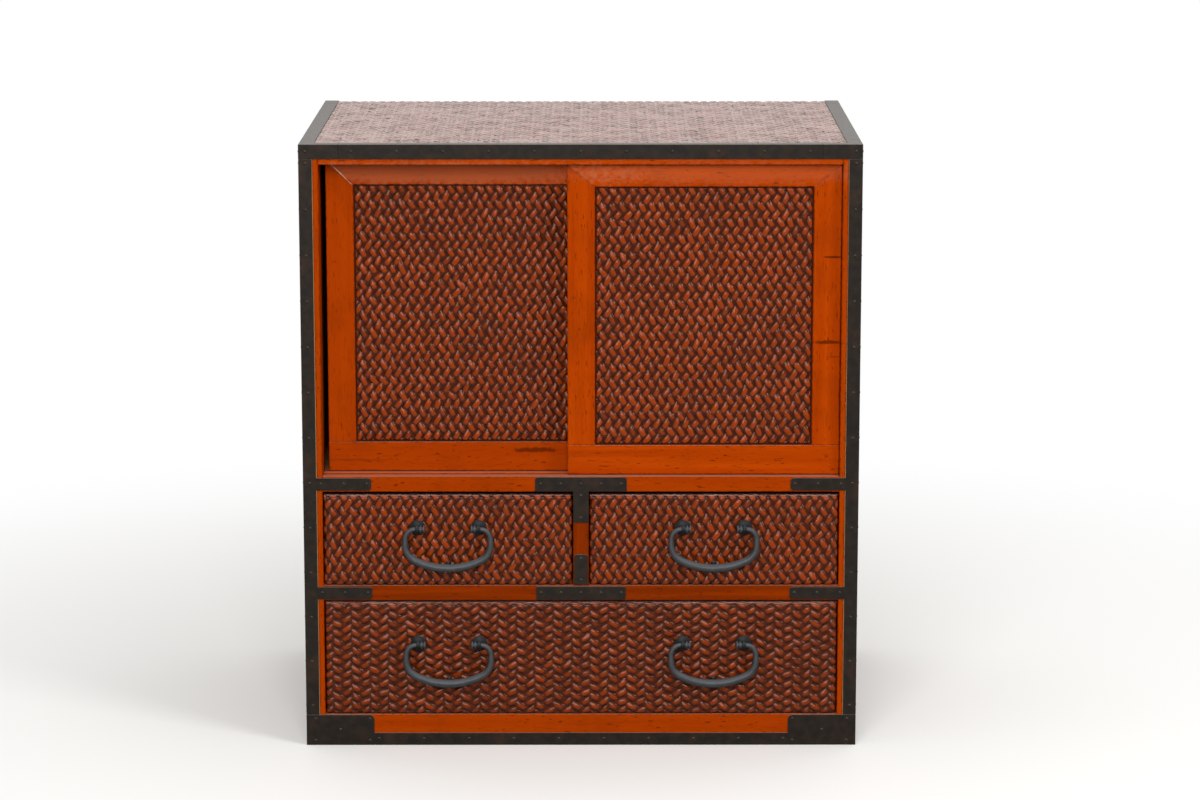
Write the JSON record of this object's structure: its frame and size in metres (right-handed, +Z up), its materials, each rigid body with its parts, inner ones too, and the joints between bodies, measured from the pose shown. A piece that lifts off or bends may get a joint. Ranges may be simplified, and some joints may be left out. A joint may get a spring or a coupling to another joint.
{
  "type": "tansu chest",
  "caption": "Small upright chest with woven panels in a lacquered frame, nailed iron edging, sliding doors above drawers with hanging bail pulls",
  "frame": {"origin": "on the floor, under the middle of the footprint with the drawer pulls counted in", "axes": "+Z up, +X to the viewer's right, the front faces -Y"},
  "size_m": [0.6076, 0.437, 0.667],
  "materials": {
    "lacquered_wood": "satin red-orange lacquer, rubbed darker at edges and joints",
    "bare_wood": "planed softwood, aged and unvarnished",
    "woven_mat": "flat bamboo splints in a twill weave, dark stain under glossy lacquer",
    "black_iron": "hammered sheet iron, blackened and satin"
  },
  "bodies": {
    "case": {"jamb_left": "lacquered_wood", "jamb_right": "lacquered_wood", "head_rail": "lacquered_wood", "sill_rail": "lacquered_wood", "mid_rail": "lacquered_wood", "bottom_rail": "lacquered_wood", "divider_post": "lacquered_wood", "side_left": "bare_wood", "side_right": "bare_wood", "top_board": "bare_wood", "bottom_board": "bare_wood", "dust_board": "bare_wood", "cabinet_floor": "bare_wood", "back_panel": "bare_wood", "divider_panel": "bare_wood", "drawer_guides": "bare_wood", "side_mat_left": "woven_mat", "side_mat_right": "woven_mat", "top_mat": "woven_mat", "top_front_iron": "black_iron", "top_side_irons": "black_iron", "top_corner_irons": "black_iron", "post_irons": "black_iron", "base_irons": "black_iron", "base_corner_plates": "black_iron", "rail_end_straps": "black_iron", "sill_tee_strap": "black_iron", "divider_straps": "black_iron", "iron_nails": "black_iron"},
    "left_drawer": {"left_drawer_front": "bare_wood", "left_drawer_sides": "bare_wood", "left_drawer_back": "bare_wood", "left_drawer_bottom": "bare_wood", "left_drawer_mat": "woven_mat", "left_drawer_pull_posts": "black_iron"},
    "right_drawer": {"right_drawer_front": "bare_wood", "right_drawer_sides": "bare_wood", "right_drawer_back": "bare_wood", "right_drawer_bottom": "bare_wood", "right_drawer_mat": "woven_mat", "right_drawer_pull_posts": "black_iron"},
    "wide_drawer": {"wide_drawer_front": "bare_wood", "wide_drawer_sides": "bare_wood", "wide_drawer_back": "bare_wood", "wide_drawer_bottom": "bare_wood", "wide_drawer_mat": "woven_mat", "wide_drawer_pull_posts": "black_iron"},
    "left_door": {"left_door_stiles": "lacquered_wood", "left_door_rails": "lacquered_wood", "left_door_mat": "woven_mat", "left_door_backing": "bare_wood"},
    "right_door": {"right_door_stiles": "lacquered_wood", "right_door_rails": "lacquered_wood", "right_door_mat": "woven_mat", "right_door_backing": "bare_wood"},
    "left_drawer_bail": {"left_drawer_bail": "black_iron"},
    "right_drawer_bail": {"right_drawer_bail": "black_iron"},
    "wide_drawer_bail_left": {"wide_drawer_bail_left": "black_iron"},
    "wide_drawer_bail_right": {"wide_drawer_bail_right": "black_iron"}
  },
  "joints": [
    {"name": "left_door_slide", "type": "slide", "parent": "case", "child": "left_door", "axis": [1, 0, 0], "range_m": [-0.0055, 0.2615]},
    {"name": "right_door_slide", "type": "slide", "parent": "case", "child": "right_door", "axis": [-1, 0, 0], "range_m": [0, 0.267]},
    {"name": "left_drawer_slide", "type": "slide", "parent": "case", "child": "left_drawer", "axis": [0, -1, 0], "range_m": [0, 0.3]},
    {"name": "right_drawer_slide", "type": "slide", "parent": "case", "child": "right_drawer", "axis": [0, -1, 0], "range_m": [0, 0.3]},
    {"name": "wide_drawer_slide", "type": "slide", "parent": "case", "child": "wide_drawer", "axis": [0, -1, 0], "range_m": [0, 0.3]},
    {"name": "left_drawer_bail_swing", "type": "hinge", "parent": "left_drawer", "child": "left_drawer_bail", "pos_m": [-0.14525, -0.2139, 0.24615], "axis": [-1, 0, 0], "range_deg": [0, 160]},
    {"name": "right_drawer_bail_swing", "type": "hinge", "parent": "right_drawer", "child": "right_drawer_bail", "pos_m": [0.14525, -0.2139, 0.24615], "axis": [-1, 0, 0], "range_deg": [0, 160]},
    {"name": "wide_drawer_bail_left_swing", "type": "hinge", "parent": "wide_drawer", "child": "wide_drawer_bail_left", "pos_m": [-0.14525, -0.2139, 0.1159], "axis": [-1, 0, 0], "range_deg": [0, 160]},
    {"name": "wide_drawer_bail_right_swing", "type": "hinge", "parent": "wide_drawer", "child": "wide_drawer_bail_right", "pos_m": [0.14525, -0.2139, 0.1159], "axis": [-1, 0, 0], "range_deg": [0, 160]}
  ]
}
